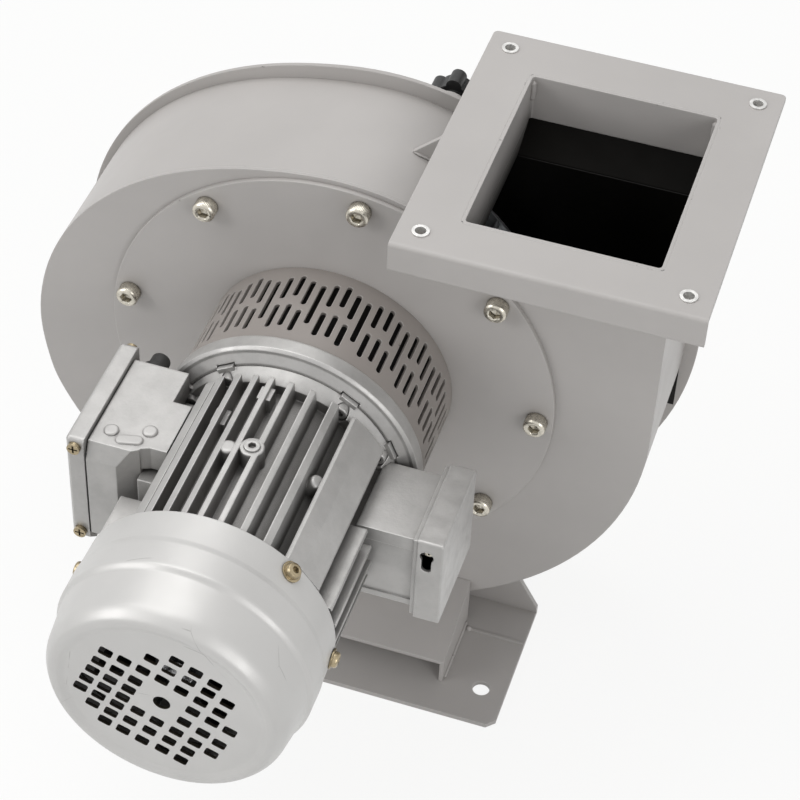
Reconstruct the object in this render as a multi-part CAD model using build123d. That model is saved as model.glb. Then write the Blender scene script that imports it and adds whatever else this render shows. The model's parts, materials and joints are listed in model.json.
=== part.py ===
from build123d import *
import math
import os

os.makedirs("parts", exist_ok=True)

# Centrifugal blower with a direct-driven impeller, millimetres.
# Parts are modelled about the shaft axis (Y) with z = 0 at the shaft.
# They are written out raised by shaft_height, so that the floor is z = 0.

# scroll casing
sheet = 2.0
casing_depth = 88.0
back_sheet = 2.5
tongue_radius = 136.0
scroll_radius_max = 188.0
floor_clearance = 5.0
shaft_height = scroll_radius_max + floor_clearance
scroll_start_angle = 95.0
scroll_end_angle = 207.0
rim_lip_min = 1.5
rim_lip_max = 10.0
rim_lip_angle = 60.0
motor_side_opening_radius = 112.0
mouth_height = 110.0
duct_left = 76.0

# outlet flange and duct
flange_top = 150.0
flange_thickness = 2.5
flange_x = (46.0, 214.5)
flange_y = (-53.0, 141.0)
flange_lip_drop = 18.0
flange_corner = 3.0
opening_x = (78.0, 183.0)
opening_y = (-22.7, 107.8)
opening_corner = 2.0
transition_height = 11.0
collar_height = flange_top - mouth_height - transition_height
rivet_spacing_x = 142.0
rivet_spacing_y = 166.0
rivet_centre = (130.0, 44.5)
rivet_head_radius = 4.8
rivet_head_height = 0.8
rivet_body_radius = 4.2
rivet_bore_radius = 3.0
rivet_length = 12.0
gusset_tip_x = 29.6
gusset_thickness = 3.0
gusset_y = 43.0

# inlet ring and swing damper
inlet_radius = 66.0
bell_radius = 72.0
inlet_ring_outer = 88.0
inlet_sheet = 1.5
throat_depth = 13.5
damper_radius = 76.0
damper_sheet = 2.0
damper_gap = 1.5
damper_open_angle = 25.0
pivot_x = 35.0
pivot_z = 126.0
stud_radius = 4.0
running_clearance = 0.07
knob_radius = 15.0
knob_lobes = 5
knob_length = 16.0

# mount disc and its screws
disc_radius = 133.0
disc_thickness = 3.0
disc_screw_circle = 123.5
# read from the photograph, where they aren't quite even; the last two are hidden
disc_screw_angles = (-80.3, -36.3, 7.1, 50.5, 90.3, 128.8, 178.5, 229.0)
m8_head_radius = 6.5
m8_head_height = 8.0
m8_radius = 4.0
m8_hex_across = 6.0
screw_clearance = 0.3
disc_bore = 20.0

# slotted ring between casing and motor
ring_outer = 73.2
ring_sheet = 2.0
ring_length = 61.0
slot_columns = 68
slot_width = 3.2
adapter_thickness = 4.0

# motor
shield_radius = 75.3
shield_depth = 10.0
shield_rim_width = 3.5
frame_bore = 50.0
frame_core = 54.0
frame_front_ring = 64.9
fin_root_thickness = 5.2
lug_top = 66.6
lug_width = 10.5
fin_tip_radius = 66.0
side_fin_tip_radius = 68.4
side_fin_thickness = 1.9
fin_thickness = 2.0
frame_front = -70.0
fins_front = -85.0
fins_rear = -193.0
top_fin_x = (-34.0, -24.0, -14.0, -5.0, 6.0, 18.0, 30.5)
bottom_fin_x = (-36.0, -24.0, -12.0, 0.0, 12.0, 24.0, 36.0)
side_fin_z = (20.0, 8.0, -4.0, -16.0, -28.0)
lug_angles = (-62.0, -31.5, 33.0, 67.0, 147.0, 213.0)
stator_length = 70.0
stator_centre_y = -120.0
stator_bore = 30.0
air_gap = 0.4
bearing_bore = 10.0
bearing_outer = 23.5
bearing_width = 14.0
ball_radius = 3.9
ball_play = 0.1
ball_count = 8
front_bearing_y = -73.0
rear_bearing_y = -197.0
shaft_radius = 9.5
shaft_rotor_radius = 14.0
shaft_front_end = 49.5
shaft_rear_end = -240.0

# fan cover
cover_edge = -193.0
cover_face = -260.0
cover_sheet = 1.8
cover_radius_front = 69.2
cover_step_y = -229.0
cover_step = 2.2
cover_cone_end = -249.0
cover_ridge_radius = 57.5
cover_ridge_height = 1.6
cover_screw_y = -198.6
cover_screw_angles = (42.0, 96.0, 222.0, 276.0)
cover_washer_radius = 5.7
grille_turn = -24.5
grille_hole_turn = -20.0
grille_hole = (7.4, 6.3)
grille_centre_radius = 4.7
grille_columns = (
    (-38.0, (13.5, 3.5, -5.5, -14.5, -23.5)),
    (-27.9, (15.0, 4.6, -5.0, -13.7, -22.3, -31.0)),
    (-17.5, (28.0, 16.2, 5.0, -4.3, -12.9, -21.2, -30.0, -39.0)),
    (-7.0, (37.0, 27.2, 17.2, -17.0, -28.0, -38.3)),
    (4.0, (37.0, 28.0, 17.5, -16.6, -27.0, -37.6)),
    (15.2, (36.4, 27.6, 17.7, 7.0, -4.8, -15.8, -25.8, -35.8)),
    (26.2, (27.8, 17.6, 7.5, -4.8, -16.0, -25.8, -35.4)),
    (36.3, (8.0, -6.0, -16.8)),
)

# terminal box on the -X side
terminal_body_x = (-86.0, -58.0)
terminal_body_y = (-150.0, -81.0)
terminal_body_z = (-28.0, 48.0)
terminal_lid_x = (-97.0, -86.8)
terminal_lid_y = (-150.3, -73.0)
terminal_lid_z = (-32.0, 51.0)
terminal_wall = 3.0
terminal_shoulder_height = 15.5
terminal_shoulder_x = -43.8
terminal_notch_x = -54.5
terminal_notch_y = -104.0
gland_radius = 5.5
gland_x = -76.0
gland_z = 39.0
gasket_thickness = 0.8

# capacitor box on the +X side
capacitor_body_x = (58.0, 93.5)
capacitor_body_y = (-128.0, -79.0)
capacitor_body_z = (-35.0, 18.0)
capacitor_lid_x = (93.0, 107.5)
capacitor_lid_y = (-132.0, -72.0)
capacitor_lid_z = (-40.0, 22.0)
capacitor_wall = 2.5

# impeller
impeller_radius = 105.0
blade_inner_radius = 86.0
impeller_back = 12.0
impeller_front = 72.0
impeller_sheet = 2.0
blade_count = 32
blade_sheet = 1.4
hub_radius = 20.0
hub_flange_radius = 36.0

# stand
foot_half_width = 132.0
foot_front = -75.0
foot_back = 22.0
foot_sheet = 3.0
foot_hole_x = 116.7
foot_hole_y = -49.7
foot_hole_radius = 5.3
web_top_x = 112.0
pedestal_half_width = 93.0
pedestal_front = -52.6
pedestal_slot = 18.0
pedestal_rear_height = 36.0
pedestal_sheet = 2.5


def save(name, shape):
    """Write one node, raised so that the foot's underside is z = 0."""
    raised = [s.moved(Location((0, 0, shaft_height))) for s in shape.solids()]
    whole = raised[0] if len(raised) == 1 else Compound(raised)
    export_step(whole, "parts/" + name + ".step")
    print(name, len(raised))


def group(shapes):
    solids = []
    for shape in shapes:
        solids += list(shape.solids())
    return Compound(solids)


def block(x, y, z):
    centre = Pos((x[0] + x[1]) / 2, (y[0] + y[1]) / 2, (z[0] + z[1]) / 2)
    return centre * Box(x[1] - x[0], y[1] - y[0], z[1] - z[0])


def rod(radius, y_low, y_high, x=0.0, z=0.0):
    return Pos(x, (y_low + y_high) / 2, z) * Rot(90, 0, 0) * Cylinder(radius, y_high - y_low)


def tube(outer, inner, y_low, y_high, x=0.0, z=0.0):
    return rod(outer, y_low, y_high, x, z) - rod(inner, y_low - 1, y_high + 1, x, z)


def hexagon_rod(across, y_low, y_high, x=0.0, z=0.0, turn=0.0):
    outline = Rot(0, 0, turn) * RegularPolygon(across / 2, 6, major_radius=False)
    return slab(Pos(x, z) * outline, y_low, y_high)


def slab(outline, y_low, y_high):
    """Outline in (x, z), extruded from y_low to y_high."""
    placed = Plane.XZ.offset(-y_high) * outline
    return extrude(placed, amount=y_high - y_low)


def turned(points):
    """Revolve a closed outline of (radius, y) about the shaft axis."""
    return revolve(make_face(Polyline(*points, close=True)), Axis.Y)


def along(angle, radius):
    """Point (x, z) at an angle from +Z towards +X."""
    a = math.radians(angle)
    return radius * math.sin(a), radius * math.cos(a)


def radial(angle, shape):
    """Turn a shape built along +Z to an angle from +Z towards +X."""
    return Rot(0, angle, 0) * shape


# Scroll outline: angles are counted from +X towards +Z.


def scroll_radius(angle):
    t = (angle - scroll_start_angle) / (scroll_end_angle - scroll_start_angle)
    t = min(1.0, max(0.0, t))
    return tongue_radius + (scroll_radius_max - tongue_radius) * t * t * (3 - 2 * t)


def polar(radius, angle):
    a = math.radians(angle)
    return radius * math.cos(a), radius * math.sin(a)


def scroll_face(inset):
    """Filled scroll, from the tongue round to the mouth, drawn in (x, z)."""
    small = tongue_radius - inset
    large = scroll_radius_max - inset
    tongue_angle = math.degrees(math.acos(duct_left / small))
    steps = 12
    points = []
    for i in range(steps + 1):
        angle = scroll_start_angle + (scroll_end_angle - scroll_start_angle) * i / steps
        points.append(polar(scroll_radius(angle) - inset, angle))
    start = polar(1.0, scroll_start_angle + 90)
    end = polar(1.0, scroll_end_angle + 90)
    tip = polar(small, tongue_angle)
    edges = [
        CenterArc((0, 0), small, tongue_angle, scroll_start_angle - tongue_angle),
        Spline(*points, tangents=(start, end)),
        CenterArc((0, 0), large, scroll_end_angle, 360 - scroll_end_angle),
        Line((large, 0), (large, mouth_height)),
        Line((large, mouth_height), (duct_left, mouth_height)),
        Line((duct_left, mouth_height), tip),
    ]
    return make_face(edges)


def rim_lip(angle):
    share = (1 + math.cos(math.radians(angle - rim_lip_angle))) / 2
    return rim_lip_min + (rim_lip_max - rim_lip_min) * share


def rim_face():
    """Back plate outline: the scroll with a rim that stands out unevenly."""
    first = math.degrees(math.acos(duct_left / (tongue_radius + rim_lip_max)))
    points = []
    count = 26
    for i in range(count + 1):
        angle = first + (360 - first) * i / count
        points.append(polar(scroll_radius(angle) + rim_lip(angle), angle))
    edge_x = points[-1][0]
    edges = [
        Spline(*points),
        Line(points[-1], (edge_x, mouth_height)),
        Line((edge_x, mouth_height), (duct_left, mouth_height)),
        Line((duct_left, mouth_height), points[0]),
    ]
    return make_face(edges)


def build_casing():
    front = slab(scroll_face(0), 0, sheet) - rod(motor_side_opening_radius, -1, sheet + 1)
    for x, z in screw_places():
        front -= rod(m8_radius + screw_clearance, -1, sheet + 1, x, z)
    save("front_plate", front)

    inner = scroll_face(sheet)
    mouth_x = (duct_left + scroll_radius_max - sheet) / 2
    mouth_width = scroll_radius_max - sheet - duct_left
    mouth = Pos(mouth_x, mouth_height + 20) * Rectangle(mouth_width, 140)
    back_face = casing_depth - 2.0
    wrapper = slab(scroll_face(0), sheet, back_face)
    wrapper -= slab(inner, sheet - 1, back_face + 1)
    wrapper -= slab(mouth, sheet - 1, back_face + 1)
    save("scroll_wrapper", wrapper)

    back = slab(rim_face(), back_face, back_face + back_sheet)
    back -= rod(bell_radius + 2.0, back_face - 1, back_face + back_sheet + 1)
    save("back_plate", back)


def screw_places():
    return [along(angle, disc_screw_circle) for angle in disc_screw_angles]


def rectangle_ring(x, y, z_low, z_high, wall, corner):
    """Upright rectangular collar whose inner faces lie at x and y."""
    centre = ((x[0] + x[1]) / 2, (y[0] + y[1]) / 2)
    outer = RectangleRounded(x[1] - x[0] + 2 * wall, y[1] - y[0] + 2 * wall, corner + wall)
    inner = RectangleRounded(x[1] - x[0], y[1] - y[0], corner)
    face = Pos(centre[0], centre[1], z_low) * (outer - inner)
    return extrude(face, amount=z_high - z_low)


def build_outlet():
    back_outer = casing_depth - 2.0 + back_sheet
    collar_low = flange_top - collar_height
    low_out = ((duct_left, scroll_radius_max), (0.0, back_outer))
    high_out = (
        (opening_x[0] - sheet, opening_x[1] + sheet),
        (opening_y[0] - sheet, opening_y[1] + sheet),
    )

    def loft_block(inset):
        sections = []
        for (x, y), z in ((low_out, mouth_height), (high_out, collar_low)):
            width = x[1] - x[0] - 2 * inset
            depth = y[1] - y[0] - 2 * inset
            centre = Pos((x[0] + x[1]) / 2, (y[0] + y[1]) / 2, z)
            sections.append(centre * Rectangle(width, depth))
        return loft(sections)

    save("outlet_transition", loft_block(0) - loft_block(sheet))
    collar = rectangle_ring(opening_x, opening_y, collar_low, flange_top, sheet, opening_corner)
    save("outlet_collar", collar)

    width = flange_x[1] - flange_x[0]
    depth = flange_y[1] - flange_y[0]
    centre = ((flange_x[0] + flange_x[1]) / 2, (flange_y[0] + flange_y[1]) / 2)
    low = flange_top - flange_thickness
    flange = block(flange_x, flange_y, (low, flange_top))
    back_edges = flange.edges().filter_by(Axis.Z).sort_by(Axis.Y)[-2:]
    flange = fillet(back_edges, flange_corner)
    lip_y = (flange_y[0], flange_y[0] + flange_thickness)
    lip = block(flange_x, lip_y, (flange_top - flange_lip_drop, low + 1))
    flange = flange + lip
    bend = flange.edges().filter_by(Axis.X).group_by(Axis.Z)[-1].sort_by(Axis.Y)[0]
    flange = fillet(bend, flange_thickness - 0.3)
    hole_x = opening_x[1] - opening_x[0] + 2 * sheet
    hole_y = opening_y[1] - opening_y[0] + 2 * sheet
    hole_centre = ((opening_x[0] + opening_x[1]) / 2, (opening_y[0] + opening_y[1]) / 2)
    hole = RectangleRounded(hole_x, hole_y, opening_corner + sheet)
    hole = Pos(hole_centre[0], hole_centre[1], low - 1) * hole
    flange -= extrude(hole, amount=flange_thickness + 2)
    nuts = []
    for i in (-1, 1):
        for j in (-1, 1):
            nut_x = rivet_centre[0] + i * rivet_spacing_x / 2
            nut_y = rivet_centre[1] + j * rivet_spacing_y / 2
            place = Pos(nut_x, nut_y, 0)
            flange -= place * Pos(0, 0, flange_top) * Cylinder(rivet_body_radius + 0.05, 40)
            head = Cylinder(rivet_head_radius, rivet_head_height)
            head = Pos(0, 0, flange_top + rivet_head_height / 2) * head
            body = Pos(0, 0, flange_top - rivet_length / 2) * Cylinder(rivet_body_radius, rivet_length)
            bulge = Pos(0, 0, low - 1.5) * Cylinder(rivet_body_radius + 0.9, 3.0)
            bore = Pos(0, 0, flange_top) * Cylinder(rivet_bore_radius, 60)
            nuts.append(place * (head + body + bulge - bore))
    save("outlet_flange", flange)
    save("rivet_nuts", group(nuts))

    tip_z = math.sqrt(tongue_radius ** 2 - gusset_tip_x ** 2)
    left_x = duct_left
    outline = make_face(
        Polyline(
            (gusset_tip_x, tip_z),
            (flange_x[0], low),
            (left_x, low),
            (left_x, 60),
            (gusset_tip_x, 60),
            close=True,
        )
    )
    outline -= Circle(tongue_radius)
    half = gusset_thickness / 2
    save("duct_gusset", slab(outline, gusset_y - half, gusset_y + half))


def build_inlet():
    back_outer = casing_depth - 2.0 + back_sheet
    face = back_outer + inlet_sheet
    turn = bell_radius - inlet_radius
    low = back_outer - throat_depth
    mid = math.sqrt(0.5)
    outline = [
        Line((inlet_ring_outer, back_outer), (inlet_ring_outer, face)),
        Line((inlet_ring_outer, face), (bell_radius, face)),
        ThreePointArc(
            (bell_radius, face),
            (bell_radius - turn * mid, face - turn * (1 - mid)),
            (inlet_radius, face - turn),
        ),
        Line((inlet_radius, face - turn), (inlet_radius, low)),
        Line((inlet_radius, low), (inlet_radius + inlet_sheet, low)),
        Line((inlet_radius + inlet_sheet, low), (inlet_radius + inlet_sheet, face - turn)),
        ThreePointArc(
            (inlet_radius + inlet_sheet, face - turn),
            (bell_radius - (turn - inlet_sheet) * mid, back_outer - (turn - inlet_sheet) * (1 - mid)),
            (bell_radius, back_outer),
        ),
        Line((bell_radius, back_outer), (inlet_ring_outer, back_outer)),
    ]
    save("inlet_ring", revolve(make_face(outline), Axis.Y))


def build_damper():
    back_outer = casing_depth - 2.0 + back_sheet
    low = back_outer + inlet_sheet + damper_gap
    high = low + damper_sheet
    hole = stud_radius + running_clearance
    plate = Circle(damper_radius)
    reach = math.hypot(pivot_x, pivot_z)
    tilt = -math.degrees(math.atan2(pivot_x, pivot_z))
    arm = Rot(0, 0, tilt) * Pos(0, reach / 2) * Rectangle(24, reach)
    eye = Pos(pivot_x, pivot_z) * Circle(12)
    tab = Rot(0, 0, tilt) * Pos(0, -damper_radius - 4) * Rectangle(22, 12)
    closed = slab(plate + arm + eye + tab, low, high)
    closed -= rod(hole, low - 1, high + 1, pivot_x, pivot_z)
    handle = Pos(0, (low + high + 14) / 2, -damper_radius - 9) * Box(22, 14 + damper_sheet, damper_sheet)
    closed += Rot(0, -tilt, 0) * handle
    swing = Pos(pivot_x, 0, pivot_z) * Rot(0, damper_open_angle, 0) * Pos(-pivot_x, 0, -pivot_z)
    save("damper_plate", swing * closed)

    spacer = rod(9.0, back_outer, low - 0.3, pivot_x, pivot_z)
    stud_end = high + 13.0
    stud = spacer + rod(stud_radius, back_outer, stud_end, pivot_x, pivot_z)
    save("damper_stud", stud)
    washer_low = high + 0.3
    washer_high = washer_low + 1.6
    save("damper_washer", tube(8.5, hole, washer_low, washer_high, pivot_x, pivot_z))

    knob_low = washer_high + 0.3
    knob_high = knob_low + knob_length
    knob = rod(8.0, knob_low, knob_low + 5.0)
    outline = Circle(knob_radius - 4.0)
    for i in range(knob_lobes):
        x, z = along(360 / knob_lobes * i, knob_radius - 4.5)
        outline += Pos(x, z) * Circle(4.5)
    head = slab(outline, knob_low + 4.0, knob_high)
    head = chamfer(head.faces().sort_by(Axis.Y)[-1].edges(), 1.0)
    knob = knob + head - rod(hole, knob_low - 1, stud_end + 0.5)
    save("star_knob", Pos(pivot_x, 0, pivot_z) * knob)


def socket_screw(head_radius, head_height, shank_radius, shank_length, hex_across):
    """Cap screw pointing to +Y with its head seat at y = 0."""
    screw = rod(head_radius, -head_height, 0)
    top = screw.faces().sort_by(Axis.Y)[0].edges()
    screw = chamfer(top, head_height * 0.1)
    screw += rod(shank_radius, -0.5, shank_length)
    screw -= hexagon_rod(hex_across, -head_height - 1, -head_height * 0.45)
    return screw


def build_mount_disc():
    disc = tube(disc_radius, disc_bore, -disc_thickness, 0)
    for x, z in screw_places():
        disc -= rod(m8_radius + screw_clearance, -disc_thickness - 1, 1, x, z)
    save("mount_disc", disc)
    screw = socket_screw(m8_head_radius, m8_head_height, m8_radius, disc_thickness + 8.0, m8_hex_across)
    save("disc_screws", group([Pos(x, -disc_thickness, z) * screw for x, z in screw_places()]))
    nuts = []
    for x, z in screw_places():
        nuts.append(hexagon_rod(13, sheet, sheet + 6.5, x, z) - rod(m8_radius + 0.1, 0, sheet + 8, x, z))
    save("weld_nuts", group(nuts))


def slot_rows(column):
    """Slot spans along the ring, counted from the casing end."""
    kind = column % 4
    if kind == 0:
        return ((12.0, 44.0),)
    if kind == 1:
        return ((9.0, 27.0), (32.0, 51.0))
    if kind == 2:
        return ((7.0, 24.0), (31.0, 49.0))
    return ((10.0, 30.0), (34.5, 52.0))


def build_ring():
    low = -disc_thickness - ring_length
    ring = tube(ring_outer, ring_outer - ring_sheet, low, -disc_thickness)
    cutters = []
    for column in range(slot_columns):
        angle = 360 / slot_columns * column
        for near, far in slot_rows(column):
            middle = -disc_thickness - (near + far) / 2
            slot = SlotOverall(far - near, slot_width, rotation=90)
            tool = extrude(Pos(0, middle, ring_outer - 6) * slot, amount=12)
            cutters.append(radial(angle, tool))
    save("slotted_ring", ring - cutters)

    inner = ring_outer - ring_sheet
    plate = tube(inner, 30.0, low, low + adapter_thickness)
    screws = []
    for i in range(4):
        x, z = along(45 + 90 * i, 65.0)
        plate -= rod(3.3, low - 1, low + adapter_thickness + 1, x, z)
        head = hexagon_rod(10, low + adapter_thickness, low + adapter_thickness + 4, x, z)
        screws.append(head + rod(3.0, low - 4.0, low + adapter_thickness + 1, x, z))
    save("adapter_plate", plate)
    save("adapter_screws", group(screws))


def bearing_outer_ring(centre_y):
    half = bearing_width / 2
    ring = tube(bearing_outer, bearing_outer - 3.6, centre_y - half, centre_y + half)
    pitch = (bearing_bore + bearing_outer) / 2
    groove = Pos(0, centre_y, 0) * Rot(90, 0, 0) * Torus(pitch, ball_radius + ball_play)
    return ring - groove


def bearing_inner_ring(centre_y):
    half = bearing_width / 2
    ring = tube(bearing_bore + 3.6, bearing_bore, centre_y - half, centre_y + half)
    pitch = (bearing_bore + bearing_outer) / 2
    groove = Pos(0, centre_y, 0) * Rot(90, 0, 0) * Torus(pitch, ball_radius + ball_play)
    return ring - groove


def bearing_balls(centre_y):
    pitch = (bearing_bore + bearing_outer) / 2
    balls = []
    for i in range(ball_count):
        x, z = along(360 / ball_count * i, pitch)
        balls.append(Pos(x, centre_y, z) * Sphere(ball_radius))
    return balls


def build_bearings():
    for name, y in (("front", front_bearing_y), ("rear", rear_bearing_y)):
        save(name + "_bearing_outer", bearing_outer_ring(y))
        save(name + "_bearing_inner", bearing_inner_ring(y))
        save(name + "_bearing_balls", group(bearing_balls(y)))


def build_drive_end_shield():
    back = -disc_thickness - ring_length
    front = back - shield_depth
    seat = bearing_outer + 0.05
    rim = shield_radius - shield_rim_width
    housing_end = front_bearing_y - bearing_width / 2
    points = (
        (12.0, back),
        (shield_radius, back),
        (shield_radius, front + 1.5),
        (shield_radius - 1.5, front),
        (rim, front),
        (frame_front_ring + 1.6, frame_front - 6.7),
        (frame_front_ring + 0.3, frame_front - 6.7),
        (frame_front_ring + 0.3, frame_front),
        (seat + 6.0, frame_front),
        (seat + 6.0, housing_end),
        (seat, housing_end),
        (seat, front_bearing_y + bearing_width / 2),
        (12.0, front_bearing_y + bearing_width / 2),
    )
    shield = turned(points)
    for i in range(4):
        x, z = along(45 + 90 * i, 65.0)
        shield -= rod(3.05, back - 5, back + 1, x, z)
    for angle in lug_angles:
        x, z = along(angle, 59.5)
        notch = Box(lug_width + 1.6, 20.0, lug_top - 51.2)
        notch = Pos(0, frame_front - 8.0, (lug_top + 52.8) / 2) * notch
        shield -= radial(angle, notch)
        shield -= rod(2.55, frame_front - 1, back - 1, x, z)
    save("drive_end_shield", shield)
    screws = []
    for angle in lug_angles:
        x, z = along(angle, 59.5)
        screw = socket_screw(4.25, 5.0, 2.5, 79.0 - 65.0, 4.0)
        screws.append(Pos(x, -79.0, z) * screw)
    save("shield_screws", group(screws))


def side_fin(x, z, width, height):
    return Pos(x, z) * Rectangle(width, height)


def drafted_fin(x, side):
    """Upright fin in (x, z), thicker at its root; side is 1 above and -1 below."""
    root = fin_root_thickness / 2
    tip = fin_thickness / 2
    points = ((x - root, 15 * side), (x - root, 46 * side), (x - tip, 75 * side))
    mirrored = tuple((2 * x - px, pz) for px, pz in reversed(points))
    return make_face(Polyline(*(points + mirrored), close=True))


def build_motor_frame():
    outline = Circle(frame_core)
    for x in top_fin_x:
        outline += drafted_fin(x, 1)
    for x in bottom_fin_x:
        outline += drafted_fin(x, -1)
    right = Sketch()
    left = Sketch()
    for z in side_fin_z:
        right += side_fin(60.5, z, 33, side_fin_thickness)
        left += side_fin(-60.5, z, 33, side_fin_thickness)
    tips = Circle(fin_tip_radius)
    side_tips = Circle(side_fin_tip_radius)
    right_pad = ((40, 34), (40, 51), (42, 51.3), (49.5, 45), (58.5, 33), (57, 26), (44, 24))
    left_pad = ((-34, 38), (-38, 51), (-43, 48), (-44, 24))
    outline = outline & tips
    outline += make_face(Polyline(*right_pad, close=True))
    outline += make_face(Polyline(*left_pad, close=True))
    bore = Circle(frame_bore)
    box_rear = terminal_body_y[0] - 4
    capacitor_rear = capacitor_body_y[0] - 4
    frame = slab(outline + (right & side_tips) + (left & side_tips) - bore, fins_rear, box_rear)
    frame += slab(outline + (right & side_tips) - bore, box_rear, capacitor_rear)
    frame += slab(outline - bore, capacitor_rear, fins_front)
    collar = (
        (frame_bore + 1.0, fins_front),
        (frame_front_ring - 4.4, fins_front),
        (frame_front_ring, frame_front - 7.0),
        (frame_front_ring, frame_front),
        (frame_bore + 1.0, frame_front),
    )
    collar = turned(collar)
    box_end = capacitor_body_y[1] + 0.2
    box_z = (capacitor_body_z[0] - 0.3, capacitor_body_z[1] + 0.3)
    collar -= block((capacitor_body_x[0], 80), (fins_front - 1, box_end), box_z)
    neck_low = terminal_body_z[1] - terminal_shoulder_height - 0.3
    box_end = terminal_body_y[1] + 0.2
    box_z = (terminal_body_z[0] - 0.3, terminal_body_z[1] + 0.3)
    collar -= block((-80, terminal_shoulder_x), (fins_front - 1, box_end), (neck_low, 80))
    collar -= block((-80, terminal_body_x[1]), (fins_front - 1, box_end), box_z)
    frame += collar

    pad_t = block((terminal_body_x[1], -40), (terminal_body_y[0] + 2, fins_front), (-12, 30))
    pad_c = block((40, capacitor_body_x[0]), (capacitor_body_y[0] + 2, capacitor_body_y[1] - 2), (-31, 15))
    frame += pad_t
    frame += pad_c
    for angle in lug_angles:
        lug_end = frame_front + 1.7
        lug = Box(lug_width, 79.0 + lug_end, lug_top - 52.5)
        lug = Pos(0, (-79.0 + lug_end) / 2, (lug_top + 52.5) / 2) * lug
        frame += radial(angle, lug)
    boss = Pos(2.7, -136.5, 58.0) * Cylinder(6.6, 15.5)
    frame += fillet(boss.edges().sort_by(Axis.Z)[-1], 0.8)
    boss = Pos(-9.5, -139.0, 56.5) * Cylinder(4.8, 16.5)
    frame += fillet(boss.edges().sort_by(Axis.Z)[-1], 1.8)
    boss = Pos(0, -134.8, 57.0) * Cylinder(4.4, 14.0)
    frame += radial(37.5, fillet(boss.edges().sort_by(Axis.Z)[-1], 1.8))
    frame += Pos(-23.5, -113.6, 53.0) * Box(8.0, 11.0, 8.0)
    frame += Pos(-4.8, -95.5, 57.0) * Box(7.5, 9.0, 13.0)

    frame -= rod(frame_bore, fins_rear - 1, fins_front + 3)
    frame -= rod(frame_bore + 1.5, fins_front + 3, frame_front + 1)
    frame -= tube(90.0, fin_tip_radius + 0.5, fins_rear - 1, cover_edge + 3)
    frame -= Pos(2.7, -136.5, 64.0) * Cylinder(4.3, 8.0)
    for angle in lug_angles:
        x, z = along(angle, 59.5)
        frame -= rod(2.6, -80, frame_front + 3, x, z)
        frame -= rod(4.7, fins_front - 1, -79.0, x, z)
    save("motor_frame", frame)

    plug = Pos(2.7, -136.5, 63.4) * Cylinder(4.2, 6.8)
    socket = Pos(2.7, -136.5, 64.0) * extrude(RegularPolygon(2.0, 6, major_radius=False), amount=4)
    save("lifting_plug", plug - socket)


def build_motor_inside():
    half = stator_length / 2
    low = stator_centre_y - half
    high = stator_centre_y + half
    stator = tube(frame_bore - 0.05, stator_bore, low, high)
    save("stator_core", stator)
    rear = tube(46.0, 33.0, low - 15.0, low)
    front = tube(46.0, 33.0, high, high + 11.0)
    windings = []
    for part in (rear, front):
        windings.append(fillet(part.edges().filter_by(GeomType.CIRCLE), 3.0))
    save("stator_windings", group(windings))
    save("rotor_core", tube(stator_bore - air_gap, shaft_rotor_radius + 0.05, low, high))

    front_seat = front_bearing_y + bearing_width / 2
    rear_seat = rear_bearing_y - bearing_width / 2
    seat = bearing_bore - 0.02
    shaft = rod(shaft_radius, front_seat, shaft_front_end)
    shaft += rod(seat, front_bearing_y - bearing_width / 2 - 1, front_seat + 1)
    shaft += rod(12.0, high, front_bearing_y - bearing_width / 2)
    shaft += rod(shaft_rotor_radius, low - 18.0, high)
    shaft += rod(12.0, rear_bearing_y + bearing_width / 2, low - 18.0)
    shaft += rod(seat, rear_seat - 1, rear_bearing_y + bearing_width / 2 + 1)
    shaft += rod(9.0, shaft_rear_end, rear_seat)
    shaft -= block((-3.05, 3.05), (20.0, shaft_front_end + 1), (shaft_radius - 3.0, shaft_radius + 2))
    shaft -= rod(m8_radius + 0.05, 28.0, shaft_front_end + 1)
    save("motor_shaft", shaft)

    seat_r = bearing_outer + 0.05
    inner_end = rear_bearing_y + bearing_width / 2
    outer_end = rear_bearing_y - bearing_width / 2
    points = (
        (seat_r, inner_end + 2.0),
        (seat_r + 6.0, inner_end + 2.0),
        (seat_r + 6.0, fins_rear),
        (frame_core + 6.0, fins_rear),
        (frame_core + 6.0, fins_rear - 5.0),
        (seat_r + 6.0, fins_rear - 5.0),
        (seat_r + 6.0, outer_end - 3.0),
        (12.0, outer_end - 3.0),
        (12.0, outer_end),
        (seat_r, outer_end),
    )
    shield = turned(points)
    for angle in cover_screw_angles:
        lug = Pos(0, cover_screw_y - 0.2, 60.8) * Box(13.0, 10.0, 12.4)
        shield += radial(angle, lug)
    for angle in cover_screw_angles:
        shield -= radial(angle, Pos(0, cover_screw_y, 64) * Cylinder(2.55, 14))
    save("rear_end_shield", shield)

    hub = tube(13.0, 9.05, -236.0, -212.0)
    hub += tube(58.0, 12.5, -214.5, -212.0)
    for i in range(9):
        vane = Pos(0, -224.0, 34.5) * Box(2.0, 20.0, 45.0)
        hub += radial(40 * i, vane)
    save("cooling_fan", hub)


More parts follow.
